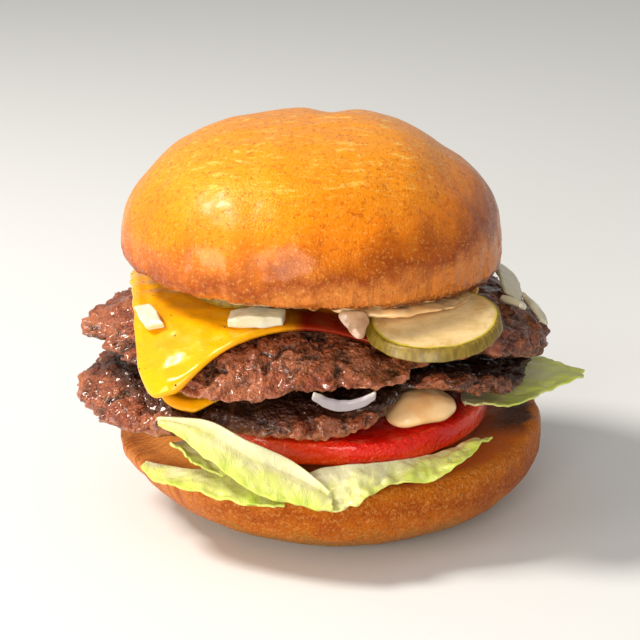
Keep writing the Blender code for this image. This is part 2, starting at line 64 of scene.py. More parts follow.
def buildStudio():
    turn = math.radians(studio["elevation"])
    target = Vector(studio["target"])
    back = Vector((0, -math.cos(turn), math.sin(turn)))
    camera = bpy.data.objects.new("camera", bpy.data.cameras.new("camera"))
    camera.location = (target + back * studio["distance"]) * mm
    camera.rotation_euler = back.to_track_quat("Z", "Y").to_euler()
    camera.data.sensor_width = 36
    camera.data.lens = studio["lens"]
    camera.data.clip_start = 0.01
    scene.collection.objects.link(camera)
    scene.camera = camera

    world = bpy.data.worlds.new("studioWorld")
    world.use_nodes = True
    background = world.node_tree.nodes["Background"]
    background.inputs["Color"].default_value = (*studio["worldColour"], 1)
    background.inputs["Strength"].default_value = studio["worldStrength"]
    scene.world = world
    scene.view_settings.view_transform = "Standard"

    for name, (direction, distance, size, watts, colour) in studio["lamps"].items():
        lamp = bpy.data.lights.new(name, "AREA")
        lamp.shape = "DISK"
        lamp.size = size
        lamp.energy = watts
        lamp.color = colour
        lampObject = bpy.data.objects.new(name, lamp)
        away = Vector(direction).normalized()
        lampObject.location = target * mm + away * distance
        lampObject.rotation_euler = away.to_track_quat("Z", "Y").to_euler()
        scene.collection.objects.link(lampObject)

    bm = bmesh.new()
    bmesh.ops.create_grid(bm, x_segments=1, y_segments=1, size=studio["floorSize"] / 2)
    mesh = bpy.data.meshes.new("floor")
    bm.to_mesh(mesh)
    bm.free()
    floor = bpy.data.objects.new("floor", mesh)
    mesh.materials.append(newMaterial("paleFloor", studio["floorColour"], 0.9)[0])
    scene.collection.objects.link(floor)
    print("studio is ready")


# Noise on arrays of points, all in millimetres

def hashed(cells, seed):
    # a repeatable random number from 0 to 1 for each whole-numbered cell
    value = cells[:, 0] * 73856093 ^ cells[:, 1] * 19349663 ^ cells[:, 2] * 83492791 ^ (seed * 40503 + 977)
    value = value & 0xFFFFFFFF
    value = ((value ^ (value >> 15)) * 2246822519) & 0xFFFFFFFF
    value = ((value ^ (value >> 13)) * 3266489917) & 0xFFFFFFFF
    return ((value ^ (value >> 16)) & 0xFFFFFF) / 0xFFFFFF


def smoothNoise(points, size, seed=0):
    # from about -1 to 1, with lumps of this size
    scaled = points / size
    base = np.floor(scaled).astype(np.int64)
    part = scaled - base
    ease = part**3 * (part * (part * 6 - 15) + 10)
    total = np.zeros(len(points))
    for corner in np.ndindex(2, 2, 2):
        corner = np.array(corner)
        cell = base + corner
        slope = np.stack([hashed(cell, 3 * seed + k) for k in range(3)], -1) * 2 - 1
        weight = np.prod(np.where(corner == 1, ease, 1 - ease), axis=1)
        total += weight * ((part - corner) * slope).sum(1)
    return total * 1.7


def layeredNoise(points, size, seed=0, layers=3):
    total = np.zeros(len(points))
    for layer in range(layers):
        total += smoothNoise(points, size / 2**layer, seed + layer) / 2**layer
    return total


def cellNoise(points, size, seed=0):
    # the distance to the nearest scattered point, in cells, and a random number for that point
    scaled = points / size
    base = np.floor(scaled).astype(np.int64)
    near = np.full(len(points), 9.0)
    pick = np.zeros(len(points))
    for shift in np.ndindex(3, 3, 3):
        cell = base + np.array(shift) - 1
        spot = cell + np.stack([hashed(cell, 5 * seed + k) for k in range(3)], -1)
        distance = np.sqrt(((scaled - spot) ** 2).sum(1))
        pick = np.where(distance < near, hashed(cell, 5 * seed + 4), pick)
        near = np.minimum(distance, near)
    return near, pick


def rise(values, low, high):
    # 0 below low, 1 above high, eased between them
    share = np.clip((values - low) / (high - low), 0, 1)
    return share * share * (3 - 2 * share)


def plumb(points, centre, bins=120):
    # how far each point lies inside the outline that its piece has from above, seen from the centre
    flat = points[:, :2] - np.array(centre)
    reach = np.hypot(flat[:, 0], flat[:, 1])
    turn = np.arctan2(flat[:, 1], flat[:, 0]) / (2 * np.pi) % 1 * bins
    limit = np.zeros(bins)
    np.maximum.at(limit, np.minimum(turn.astype(int), bins - 1), reach)
    limit = (np.roll(limit, 1) + 2 * limit + np.roll(limit, -1)) / 4
    limit = np.concatenate([limit[-1:], limit, limit[:1]])
    return np.interp(turn, np.arange(-1, bins + 1) + 0.5, limit) - reach


def outwards(points, centre=(0.0, 0.0)):
    # the level direction away from an upright axis, one unit long, for each point
    flat = points[:, :2] - np.array(centre)
    return flat / np.maximum(np.hypot(flat[:, 0], flat[:, 1]), 1e-6)[:, None]


def radiusOf(points):
    return np.hypot(points[:, 0], points[:, 1])


# Meshes

def copyOf(node, name):
    # a welded copy of a solid, with its triangles joined back into quads
    bm = bmesh.new()
    bm.from_mesh(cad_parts[node].data)
    bmesh.ops.remove_doubles(bm, verts=bm.verts, dist=0.00002)
    bmesh.ops.join_triangles(bm, faces=bm.faces, angle_face_threshold=math.radians(50),
                             angle_shape_threshold=math.radians(70))
    return newPiece(name, bm)


def camelName(node):
    first, *others = node.split("_")
    return first + "".join(word.title() for word in others)


def newPiece(name, bm):
    mesh = bpy.data.meshes.new(name)
    bm.to_mesh(mesh)
    bm.free()
    piece = bpy.data.objects.new(name, mesh)
    scene.collection.objects.link(piece)
    return piece


def bake(piece, *steps):
    # adds modifiers in turn and keeps the result as the piece's own mesh
    for kind, values in steps:
        modifier = piece.modifiers.new(kind.title(), kind)
        for key, value in values.items():
            setattr(modifier, key, value)
    bpy.context.view_layer.update()
    graph = bpy.context.evaluated_depsgraph_get()
    mesh = bpy.data.meshes.new_from_object(piece.evaluated_get(graph))
    piece.modifiers.clear()
    old = piece.data
    piece.data = mesh
    bpy.data.meshes.remove(old)
    mesh.name = piece.name
    return piece


def subdivided(levels, kind="CATMULL_CLARK"):
    return ("SUBSURF", {"levels": levels, "render_levels": levels, "subdivision_type": kind})


def remeshed(voxel):
    return ("REMESH", {"mode": "VOXEL", "voxel_size": voxel * mm, "use_smooth_shade": True})


def smoothed(rounds, factor=0.5):
    return ("SMOOTH", {"iterations": rounds, "factor": factor})


def pointsOf(piece):
    count = len(piece.data.vertices)
    points = np.empty(count * 3, np.float32)
    normals = np.empty(count * 3, np.float32)
    piece.data.vertices.foreach_get("co", points)
    piece.data.vertices.foreach_get("normal", normals)
    return points.reshape(-1, 3).astype(float) / mm, normals.reshape(-1, 3).astype(float)


def movePoints(piece, points):
    piece.data.vertices.foreach_set("co", (points * mm).astype(np.float32).ravel())
    piece.data.update()


def store(piece, name, values):
    attribute = piece.data.attributes.new(name, "FLOAT", "POINT")
    attribute.data.foreach_set("value", values.astype(np.float32))


def dress(piece, nodes, finish):
    piece.data.materials.clear()
    piece.data.materials.append(finish)
    piece.data.shade_smooth()
    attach(piece, "root")
    if nodes:
        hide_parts(*nodes)
    print(piece.name, len(piece.data.polygons), "faces")


# Materials

def rgb(red, green, blue):
    # a colour as seen on a screen, from 0 to 255, turned into linear light
    shares = (red / 255, green / 255, blue / 255)
    return tuple(((share + 0.055) / 1.055) ** 2.4 if share > 0.04 else share / 12.92 for share in shares)


def newMaterial(name, colour, roughness, **sockets):
    finish = bpy.data.materials.new(name)
    finish.use_nodes = True
    tree = finish.node_tree
    shader = tree.nodes["Principled BSDF"]
    shader.inputs["Base Color"].default_value = (*colour, 1)
    shader.inputs["Roughness"].default_value = roughness
    for key, value in sockets.items():
        shader.inputs[key].default_value = value
    return finish, tree, shader


def addNode(tree, kind, inputs=None, **settings):
    made = tree.nodes.new(kind)
    for key, value in settings.items():
        setattr(made, key, value)
    for key, value in (inputs or {}).items():
        if isinstance(value, bpy.types.NodeSocket):
            tree.links.new(value, made.inputs[key])
        elif isinstance(value, tuple) and len(value) == 3 and made.inputs[key].type == "RGBA":
            made.inputs[key].default_value = (*value, 1)
        else:
            made.inputs[key].default_value = value
    return made


def place(tree):
    # the piece's own coordinates in millimetres
    return vectorMaths(tree, "SCALE", addNode(tree, "ShaderNodeTexCoord").outputs["Object"], 1 / mm)


def facingUp(tree):
    # 1 where the surface looks straight up, -1 where it looks straight down
    return partsOf(tree, addNode(tree, "ShaderNodeTexCoord").outputs["Normal"])[2]


def partsOf(tree, vector):
    # its x, y and z
    return addNode(tree, "ShaderNodeSeparateXYZ", {0: vector}).outputs


def stored(tree, name):
    # a value that the mesh carries
    return addNode(tree, "ShaderNodeAttribute", attribute_name=name).outputs["Fac"]


def stretched(tree, vector, scale, **inputs):
    return addNode(tree, "ShaderNodeMapping", {"Vector": vector, "Scale": scale, **inputs}).outputs[0]


def mixed(tree, share, first, second):
    return addNode(tree, "ShaderNodeMix", {0: share, 6: first, 7: second}, data_type="RGBA").outputs[2]


def spread(tree, value, low, high, toLow=0.0, toHigh=1.0):
    return addNode(tree, "ShaderNodeMapRange", {0: value, 1: low, 2: high, 3: toLow, 4: toHigh},
                   interpolation_type="SMOOTHSTEP").outputs[0]


def maths(tree, operation, first, second=0.0):
    return addNode(tree, "ShaderNodeMath", {0: first, 1: second}, operation=operation).outputs[0]


def plus(tree, first, second):
    return maths(tree, "ADD", first, second)


def times(tree, first, second):
    return maths(tree, "MULTIPLY", first, second)


def vectorMaths(tree, operation, first, second=None):
    inputs = {0: first}
    if second is not None:
        inputs["Scale" if operation == "SCALE" else 1] = second
    made = addNode(tree, "ShaderNodeVectorMath", inputs, operation=operation)
    return made.outputs["Value" if operation == "LENGTH" else "Vector"]


def ramp(tree, value, stops):
    made = addNode(tree, "ShaderNodeValToRGB", {0: value})
    elements = made.color_ramp.elements
    while len(elements) < len(stops):
        elements.new(0.5)
    for element, (position, colour) in zip(elements, stops):
        element.position = position
        element.color = (*colour, 1)
    return made.outputs[0]


def noiseNode(tree, vector, size, detail=2.0, roughness=0.5, distortion=0.0):
    return addNode(tree, "ShaderNodeTexNoise", {
        "Vector": vector, "Scale": 1 / size, "Detail": detail, "Roughness": roughness,
        "Distortion": distortion,
    }).outputs[0]


def newGroup(name, inputs, outputs):
    group = bpy.data.node_groups.new(name, "ShaderNodeTree")
    for socketName, kind, value in inputs:
        socket = group.interface.new_socket(socketName, in_out="INPUT", socket_type=kind)
        if value is not None:
            socket.default_value = value
    for socketName, kind in outputs:
        group.interface.new_socket(socketName, in_out="OUTPUT", socket_type=kind)
    start = group.nodes.new("NodeGroupInput")
    end = group.nodes.new("NodeGroupOutput")
    return group, start, end


def buildGrainGroup():
    # soft mottling, fine grain and small pits, each as a value from 0 to 1
    group, start, end = newGroup("foodGrain", [
        ("Place", "NodeSocketVector", None),
        ("Mottle size", "NodeSocketFloat", 6.0),
        ("Grain size", "NodeSocketFloat", 0.8),
        ("Pit size", "NodeSocketFloat", 1.2),
    ], [("Mottle", "NodeSocketFloat"), ("Grain", "NodeSocketFloat"), ("Pits", "NodeSocketFloat")])
    sources = start.outputs
    for size, detail, target in (("Mottle size", 4.0, "Mottle"), ("Grain size", 3.0, "Grain")):
        scale = maths(group, "DIVIDE", 1.0, sources[size])
        value = addNode(group, "ShaderNodeTexNoise", {
            "Vector": sources["Place"], "Scale": scale, "Detail": detail, "Roughness": 0.55,
        }).outputs[0]
        group.links.new(spread(group, value, 0.3, 0.7), end.inputs[target])
    pits = addNode(group, "ShaderNodeTexVoronoi", {
        "Vector": sources["Place"], "Scale": maths(group, "DIVIDE", 1.0, sources["Pit size"]),
    }).outputs["Distance"]
    group.links.new(spread(group, pits, 0.05, 0.5), end.inputs["Pits"])
    return group


def buildCreaseGroup():
    # wrinkles that run up and down the side of a round bun: 0 in a crease, 1 between creases
    group, start, end = newGroup("sideCreases", [
        ("Place", "NodeSocketVector", None), ("Size", "NodeSocketFloat", 1.5),
    ], [("Value", "NodeSocketFloat")])
    flat = vectorMaths(group, "MULTIPLY", start.outputs["Place"], (1, 1, 0))
    turn = vectorMaths(group, "SCALE", vectorMaths(group, "NORMALIZE", flat), 50.0)
    upward = vectorMaths(group, "MULTIPLY", start.outputs["Place"], (0, 0, 0.16))
    where = vectorMaths(group, "ADD", turn, upward)
    value = addNode(group, "ShaderNodeTexNoise", {
        "Vector": where, "Scale": maths(group, "DIVIDE", 1.0, start.outputs["Size"]),
        "Detail": 4.0, "Roughness": 0.6, "Distortion": 0.3,
    }).outputs[0]
    group.links.new(spread(group, value, 0.36, 0.58), end.inputs["Value"])
    return group


def creases(tree, vector, centre, size):
    made = addNode(tree, "ShaderNodeGroup", node_tree=creaseGroup)
    centred = stretched(tree, vector, (1, 1, 1), Location=(-centre[0], -centre[1], 0))
    tree.links.new(centred, made.inputs["Place"])
    made.inputs["Size"].default_value = size
    return made.outputs[0]


def grain(tree, vector, mottle, fine, pit):
    made = addNode(tree, "ShaderNodeGroup", node_tree=grainGroup)
    tree.links.new(vector, made.inputs["Place"])
    made.inputs["Mottle size"].default_value = mottle
    made.inputs["Grain size"].default_value = fine
    made.inputs["Pit size"].default_value = pit
    return made.outputs


def bumped(tree, shader, height, distance, strength=1.0, under=None):
    inputs = {"Height": height, "Distance": distance * mm, "Strength": strength}
    if under is not None:
        inputs["Normal"] = under
    normal = addNode(tree, "ShaderNodeBump", inputs).outputs[0]
    tree.links.new(normal, shader.inputs["Normal"])
    return normal


grainGroup = buildGrainGroup()
creaseGroup = buildCreaseGroup()
buildStudio()


# Buns

topBun = {
    "centre": (-5.0, 0.0),
    "toast": rgb(84, 28, 10),
    "rim": rgb(214, 122, 46),
    "low": rgb(152, 60, 0),
    "middle": rgb(230, 122, 2),
    "gold": rgb(246, 150, 0),
    "streak": rgb(255, 206, 96),
    "speck": rgb(250, 188, 96),
    "crumb": rgb(235, 205, 150),
    "radius": 49.0,
    "creaseDepth": 0.55,
    "dentDepth": 0.3,
    "raggedDepth": 0.6,
}


def topCrust():
    values = topBun
    finish, tree, shader = newMaterial("glazedCrust", values["middle"], 0.3, **{
        "Specular IOR Level": 0.45, "Specular Tint": (1.0, 0.6, 0.2, 1.0),
        "Coat Weight": 0.32, "Coat Roughness": 0.22,
    })
    spot = place(tree)
    parts = partsOf(tree, spot)
    field = grain(tree, spot, 9.0, 0.6, 0.6)
    wander = times(tree, maths(tree, "SUBTRACT", field["Mottle"], 0.5), 6.0)
    # the right side is painted darker than the left: painted shade
    height = plus(tree, plus(tree, parts[2], wander), times(tree, parts[0], -0.12))
    share = addNode(tree, "ShaderNodeMapRange", {0: height, 1: 62.0, 2: 104.0}).outputs[0]
    colour = ramp(tree, share, [
        (0.0, values["rim"]), (0.13, values["rim"]), (0.26, values["low"]), (0.48, values["middle"]),
        (0.8, values["gold"]), (1.0, values["gold"]),
    ])
    # pale brush streaks run across the top
    strokes = stretched(tree, spot, (0.3, 1.0, 2.0), Rotation=(0, 0.16, 0.25))
    brushed = spread(tree, noiseNode(tree, strokes, 2.2, 5.0, 0.72, 0.5), 0.53, 0.66)
    brushed = times(tree, brushed, spread(tree, parts[2], 84.0, 95.0))
    colour = mixed(tree, times(tree, brushed, 0.72), colour, values["streak"])
    # fine pale specks and darker grain
    pale = spread(tree, noiseNode(tree, spot, 0.8, 3.0, 0.75), 0.54, 0.66)
    colour = mixed(tree, times(tree, pale, 0.34), colour, values["speck"])
    dark = spread(tree, noiseNode(tree, spot, 1.3, 4.0, 0.75), 0.48, 0.36)
    colour = mixed(tree, times(tree, dark, 0.5), colour, values["low"])
    wrinkles = creases(tree, spot, values["centre"], 2.6)
    nearRim = spread(tree, parts[2], 76.0, 67.0)
    # the creases near the rim are painted darker: painted shade
    folded = times(tree, maths(tree, "SUBTRACT", 1.0, wrinkles), nearRim)
    colour = mixed(tree, times(tree, folded, 0.16), colour, values["low"])
    # a thin toasted line under the rim
    edge = spread(tree, plus(tree, parts[2], times(tree, field["Grain"], 1.6)), 67.0, 65.4)
    colour = mixed(tree, times(tree, edge, 0.85), colour, values["toast"])
    under = spread(tree, facingUp(tree), -0.75, -0.9)
    patchy = spread(tree, noiseNode(tree, spot, 5.0, 3.0), 0.4, 0.6)
    colour = mixed(tree, under, colour, mixed(tree, patchy, values["crumb"], values["toast"]))
    tree.links.new(colour, shader.inputs["Base Color"])
    rough = plus(tree, spread(tree, field["Grain"], 0.1, 0.9, 0.24, 0.42), times(tree, nearRim, 0.18))
    tree.links.new(rough, shader.inputs["Roughness"])
    dimples = noiseNode(tree, spot, 2.0, 4.0, 0.6, 0.4)
    first = bumped(tree, shader, plus(tree, times(tree, wrinkles, 0.4), dimples), 0.42, nearRim)
    fine = plus(tree, times(tree, field["Grain"], 0.5), times(tree, field["Pits"], 0.3))
    bumped(tree, shader, fine, 0.12, 1.0, first)
    return finish


def makeTopBun():
    piece = bake(copyOf("bun_top", "topBun"), subdivided(3))
    points, normals = pointsOf(piece)
    around = np.concatenate([outwards(points, topBun["centre"]) * topBun["radius"], points[:, 2:] / 5], 1)
    low = 1 - rise(points[:, 2], 67, 78)
    side = rise(points[:, 2], 63.6, 66.5)
    crease = -np.abs(smoothNoise(around, 5.2, 3)) + 0.5 * layeredNoise(points, 2.6, 4, 2)
    deep = -rise(smoothNoise(around, 6.5, 8), 0.35, 0.6)
    ragged = layeredNoise(points, 4.0, 6, 3) * (1 - rise(points[:, 2], 65.2, 68.0))
    dents = layeredNoise(points, 11.0, 12, 3)
    offset = topBun["creaseDepth"] * (crease + deep) * low * side
    offset += topBun["dentDepth"] * dents * (1 - 0.6 * low) + topBun["raggedDepth"] * ragged
    points += normals * offset[:, None]
    movePoints(piece, points)
    dress(piece, ["bun_top"], topCrust())


bottomBun = {
    "crust": rgb(188, 98, 16),
    "deep": rgb(158, 68, 8),
    "pale": rgb(218, 152, 80),
    "tan": rgb(228, 140, 66),
    "brown": rgb(190, 96, 34),
    # painted light for the left of the cut face, partly its own light orange
    "lit": rgb(255, 168, 80),
    "olive": rgb(160, 116, 42),
    # burnt crust on the right of the cut face, darkened further as painted shade
    "toast": rgb(70, 28, 12),
    "radius": 55.0,
    "shoulder": 4.2,  # mm that the left of the cut face swells up beside the tomato
    "creaseDepth": 0.45,
    "dentDepth": 0.34,
}


def bottomCrust():
    values = bottomBun
    finish, tree, shader = newMaterial("bakedCrust", values["crust"], 0.5, **{
        "Specular IOR Level": 0.3, "Specular Tint": (1.0, 0.6, 0.2, 1.0),
    })
    spot = place(tree)
    parts = partsOf(tree, spot)
    field = grain(tree, spot, 8.0, 0.8, 0.9)
    wander = times(tree, maths(tree, "SUBTRACT", field["Mottle"], 0.5), 5.0)
    share = addNode(tree, "ShaderNodeMapRange", {0: plus(tree, parts[2], wander), 1: 0.0, 2: 24.0}).outputs[0]
    colour = ramp(tree, share, [
        (0.0, values["olive"]), (0.18, values["olive"]), (0.4, values["crust"]), (0.62, values["deep"]),
        (0.85, values["crust"]), (1.0, values["crust"]),
    ])
    pale = spread(tree, noiseNode(tree, spot, 1.0, 4.0, 0.8), 0.5, 0.62)
    colour = mixed(tree, times(tree, pale, 0.5), colour, values["pale"])
    dark = spread(tree, noiseNode(tree, spot, 1.5, 5.0, 0.8), 0.48, 0.36)
    colour = mixed(tree, times(tree, dark, 0.7), colour, values["deep"])
    # the left shoulder is wrinkled from top to bottom and pale, partly its own tan and partly painted light
    wrinkles = creases(tree, spot, (0.0, 0.0), 2.2)
    left = times(tree, spread(tree, parts[0], -22.0, -42.0), spread(tree, parts[2], 8.0, 15.0))
    streaked = mixed(tree, spread(tree, wrinkles, 0.1, 0.6), values["brown"], values["tan"])
    colour = mixed(tree, times(tree, left, 0.7), colour, streaked)
    # the cut face: on the left a bright colour, partly its own and partly painted light; near its edge on the
    # right, burnt crust darkened further as painted shade
    face = times(tree, spread(tree, facingUp(tree), 0.6, 0.85), spread(tree, parts[2], 17.0, 19.5))
    radius = vectorMaths(tree, "LENGTH", vectorMaths(tree, "MULTIPLY", spot, (1, 1, 0)))
    ragged = plus(tree, radius, times(tree, field["Mottle"], 3.0))
    burnt = times(tree, spread(tree, ragged, 38.0, 50.0), spread(tree, parts[0], 20.0, 36.0))
    burnt = times(tree, burnt, spread(tree, parts[1], -24.0, -12.0))
    onLeft = spread(tree, parts[0], 0.0, -25.0)
    cutFace = mixed(tree, burnt, mixed(tree, onLeft, values["brown"], values["lit"]), values["toast"])
    colour = mixed(tree, times(tree, face, spread(tree, ragged, 56.0, 53.0)), colour, cutFace)
    tree.links.new(colour, shader.inputs["Base Color"])
    tree.links.new(spread(tree, field["Grain"], 0.2, 0.9, 0.42, 0.6), shader.inputs["Roughness"])
    first = bumped(tree, shader, wrinkles, 0.25, left)
    fine = plus(tree, times(tree, field["Grain"], 0.6), times(tree, field["Pits"], 0.6))
    bumped(tree, shader, fine, 0.34, maths(tree, "SUBTRACT", 1.0, times(tree, face, 0.75)), first)
    return finish


def makeBottomBun():
    piece = bake(copyOf("bun_bottom", "bottomBun"), subdivided(3))
    points, normals = pointsOf(piece)
    around = np.concatenate([outwards(points) * bottomBun["radius"], points[:, 2:] / 4], 1)
    side = rise(points[:, 2], 1.0, 5.0)
    left = rise(-points[:, 0], 20, 45)
    crease = -np.abs(smoothNoise(around, 6.0, 21)) * left
    dents = layeredNoise(points, 9.0, 22, 4)
    offset = side * (bottomBun["creaseDepth"] * crease + bottomBun["dentDepth"] * dents)
    points += normals * offset[:, None]
    offTomato = radiusOf(points[:, :2] - np.array(tomato["centre"]))
    swell = rise(51 - radiusOf(points), 0, 11) * rise(offTomato, 36.5, 40.5) * rise(-points[:, 0], 12, 24)
    points[:, 2] += bottomBun["shoulder"] * swell * rise(points[:, 2], 15, 18)
    points[:, 2] = np.maximum(points[:, 2], 0.0)
    movePoints(piece, points)
    dress(piece, ["bun_bottom"], bottomCrust())


# Beef

beef = {
    "voxel": 0.53,
    "crumbs": [(5.2, 1.15, 1), (2.4, 0.6, 2)],  # size and height in mm, and seed
    "dark": rgb(34, 11, 6),
    "brown": rgb(144, 68, 34),
    "red": rgb(134, 42, 12),
    "pink": rgb(204, 128, 88),
    "fat": rgb(226, 190, 170),
    "gap": (34, 52),  # heights between which the patties shade each other
    # pale grease beads, partly real grease and partly painted glints: how many to a square metre, and their
    # radii in metres
    "beads": {"Spread": 42000.0, "Smallest": 0.00006, "Largest": 0.00019, "Flatness": 0.6},
}


def beefMaterial():
    finish, tree, shader = newMaterial("grilledBeef", beef["brown"], 0.38, **{
        "Specular IOR Level": 0.5, "Specular Tint": (1.0, 0.7, 0.55, 1.0),
        "Coat Weight": 0.6, "Coat Roughness": 0.1,
    })
    spot = place(tree)
    field = grain(tree, spot, 6.0, 0.9, 1.1)
    reddish = spread(tree, noiseNode(tree, spot, 4.5, 4.0, 0.6), 0.44, 0.6)
    colour = mixed(tree, reddish, beef["brown"], beef["red"])
    pale = spread(tree, noiseNode(tree, spot, 9.0, 4.0, 0.6), 0.44, 0.62)
    pale = maths(tree, "MAXIMUM", times(tree, pale, 0.5), times(tree, stored(tree, "under"), 0.7))
    colour = mixed(tree, pale, colour, beef["pink"])
    # charred patches, with more of them on the right as painted shade
    right = spread(tree, partsOf(tree, spot)[0], 10.0, 50.0, 0.0, 0.12)
    patches = maths(tree, "SUBTRACT", noiseNode(tree, spot, 6.0, 5.0, 0.7, 0.3), right)
    charred = spread(tree, patches, 0.5, 0.36)
    colour = mixed(tree, times(tree, charred, 0.8), colour, beef["dark"])
    # the crevices are painted dark: painted shade
    colour = mixed(tree, spread(tree, stored(tree, "depth"), 0.56, 0.2), colour, beef["dark"])
    crumbly = spread(tree, noiseNode(tree, spot, 0.9, 3.0, 0.7), 0.42, 0.6)
    colour = mixed(tree, times(tree, crumbly, 0.35), colour, beef["pink"])
    # the meat between the two patties is painted dark: painted shade
    colour = mixed(tree, times(tree, stored(tree, "covered"), 0.92), colour, beef["dark"])
    tree.links.new(colour, shader.inputs["Base Color"])
    tree.links.new(spread(tree, field["Mottle"], 0.25, 0.8, 0.2, 0.5), shader.inputs["Roughness"])
    fine = plus(tree, times(tree, field["Grain"], 0.8), times(tree, field["Pits"], 0.4))
    bumped(tree, shader, fine, 0.5)
    return finish


def shadedByOther(piece, points):
    # how far each point of the meat lies in the narrow space between the two patties, which the finish paints
    # dark as painted shade
    upward = 1 if piece.name == "lowerPatty" else -1
    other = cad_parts["patty_upper" if upward == 1 else "patty_lower"].data
    corners = [vert.co for vert in other.vertices]
    surface = BVHTree.FromPolygons(corners, [face.vertices for face in other.polygons])
    values = np.zeros(len(points))
    low, high = beef["gap"]
    for number, point in enumerate(points):
        if low < point[2] < high and point[1] < 10:
            start = Vector((point[0], point[1] - 1.5, point[2] + 0.6 * upward)) * mm
            hit = surface.ray_cast(start, Vector((0, 0, upward)), 12 * mm)
            values[number] = 0 if hit[0] is None else 1 - rise(hit[3] / mm, 5, 12)
    return values


def makePatty(node, name, seed, finish):
    piece = bake(copyOf(node, name), subdivided(1), remeshed(beef["voxel"]), smoothed(3))
    points, normals = pointsOf(piece)
    shown = rise(radiusOf(points), 30, 40)
    inside = plumb(points, (0, 0))
    edge = 1 - rise(inside, 0.5, 5.0)
    warp = np.stack([smoothNoise(points, 5.0, seed + k) for k in (1, 2, 3)], -1) * 1.6
    ridges = 1 - np.abs(layeredNoise(points + warp, 7.0, seed + 4, 3))
    offset = 1.1 * (ridges - 0.75) + 0.5 * layeredNoise(points, 11.0, seed + 9, 2)
    cracks = 1 - rise(np.abs(smoothNoise(points + 1.5 * warp, 6.5, seed + 14)), 0.0, 0.11)
    offset -= 0.9 * cracks * rise(smoothNoise(points, 9.0, seed + 15), -0.1, 0.3)
    for size, height, extra in beef["crumbs"]:
        near, pick = cellNoise(points + 0.5 * warp, size, seed + extra)
        offset += height * (np.sqrt(np.clip(1 - near**2, 0, 1)) - 0.75 + 0.8 * (pick - 0.5))
    offset += 0.12 * smoothNoise(points, 1.2, seed + 11)
    points += normals * (offset * (0.12 + 0.88 * shown) - 0.35 * (1 - shown))[:, None]
    # ragged flakes stick out round the edge
    flakes = 0.7 + 2.2 * smoothNoise(points, 4.2, seed + 20) + 1.3 * smoothNoise(points, 2.0, seed + 21)
    points[:, :2] += outwards(points) * (flakes * edge)[:, None]
    points[:, 2] += 0.7 * edge * smoothNoise(points, 4.0, seed + 22)
    movePoints(piece, points)
    # how high each point stands, which the finish turns into painted shade in the crevices
    store(piece, "depth", np.clip(0.55 + 0.4 * offset, 0, 1))
    store(piece, "under", rise(-normals[:, 2], 0.1, 0.7))
    store(piece, "covered", shadedByOther(piece, points))
    store(piece, "shown", rise(radiusOf(points), 40, 46) * rise(offset, -0.2, 0.3))
    dress(piece, [node], finish)
    return piece


# Cheese

cheese = {
    "yellow": rgb(252, 178, 4),
    "deep": rgb(244, 152, 2),
    "stain": rgb(134, 20, 4),
    "pepper": rgb(66, 40, 18),
    # pepper: how many specks to a square metre, and their radii in metres
    "specks": {"Spread": 15000.0, "Smallest": 0.00012, "Largest": 0.0003, "Flatness": 0.4},
}


def cheeseMaterial():
    finish, tree, shader = newMaterial("meltedCheese", cheese["yellow"], 0.24, **{
        "Subsurface Weight": 0.2, "Subsurface Radius": (1.0, 0.5, 0.1), "Subsurface Scale": 0.002,
        "Specular Tint": (1.0, 0.85, 0.4, 1.0), "Coat Weight": 0.15, "Coat Roughness": 0.12,
    })
    spot = place(tree)
    field = grain(tree, spot, 7.0, 1.4, 2.0)
    colour = mixed(tree, times(tree, field["Mottle"], 0.6), cheese["yellow"], cheese["deep"])
    # dark red painted shade under the front of the top bun
    parts = partsOf(tree, spot)
    inward = spread(tree, plus(tree, parts[1], times(tree, field["Mottle"], 3.0)), -40.5, -38.0)
    inward = times(tree, inward, spread(tree, parts[1], -24.0, -30.0))
    across = times(tree, spread(tree, parts[0], -14.0, -6.0), spread(tree, parts[0], 20.0, 12.0))
    stained = times(tree, times(tree, inward, across), spread(tree, parts[2], 50.0, 54.0))
    colour = mixed(tree, stained, colour, cheese["stain"])
    tree.links.new(colour, shader.inputs["Base Color"])
    tree.links.new(spread(tree, field["Mottle"], 0.1, 0.9, 0.2, 0.32), shader.inputs["Roughness"])
    bumped(tree, shader, noiseNode(tree, spot, 3.2, 2.0, 0.5), 0.2)
    return finish


def makeCheese(node, name, finish, seed):
    piece = bake(copyOf(node, name), subdivided(3), smoothed(5))
    points, normals = pointsOf(piece)
    inside = plumb(points, (0, 0))
    outer = rise(radiusOf(points), 36, 46)
    up = rise(normals[:, 2], -0.3, 0.3)
    swell = 0.75 * np.exp(-((inside - 1.6) / 1.5) ** 2) + 0.55 * smoothNoise(points, 8.0, seed)
    swell += 0.42 * smoothNoise(points, 3.8, seed + 1) * rise(inside, 1.5, 5.0)
    points += normals * (outer * up * (swell + 0.3))[:, None]
    wavy = 0.9 * smoothNoise(points, 9.0, seed + 3) * (1 - rise(inside, 1.0, 5.0))
    points[:, :2] += outwards(points) * (outer * wavy)[:, None]
    movePoints(piece, points)
    bake(piece, smoothed(4))
    store(piece, "shown", outer * rise(normals[:, 2], 0.1, 0.4))
    dress(piece, [node], finish)
    return piece


# Vegetables and sauce

def simplePiece(node, name, finish, levels, bumps, rounds=2, dressed=True, kind="CATMULL_CLARK"):
    piece = bake(copyOf(node, name), subdivided(levels, kind), smoothed(rounds))
    points, normals = pointsOf(piece)
    offset = sum(height * smoothNoise(points, size, seed) for height, size, seed in bumps)
    points += normals * offset[:, None]
    movePoints(piece, points)
    if dressed:
        dress(piece, [node], finish)
    return piece


tomato = {
    "red": rgb(226, 14, 0),
    "orange": rgb(240, 82, 10),
    "flesh": rgb(236, 100, 70),
    "cut": rgb(236, 104, 74),
    "centre": (4.6, -11.5),
    "topHeight": 31.4,
    "topSlope": 0.025,  # the slice rises to the right
}


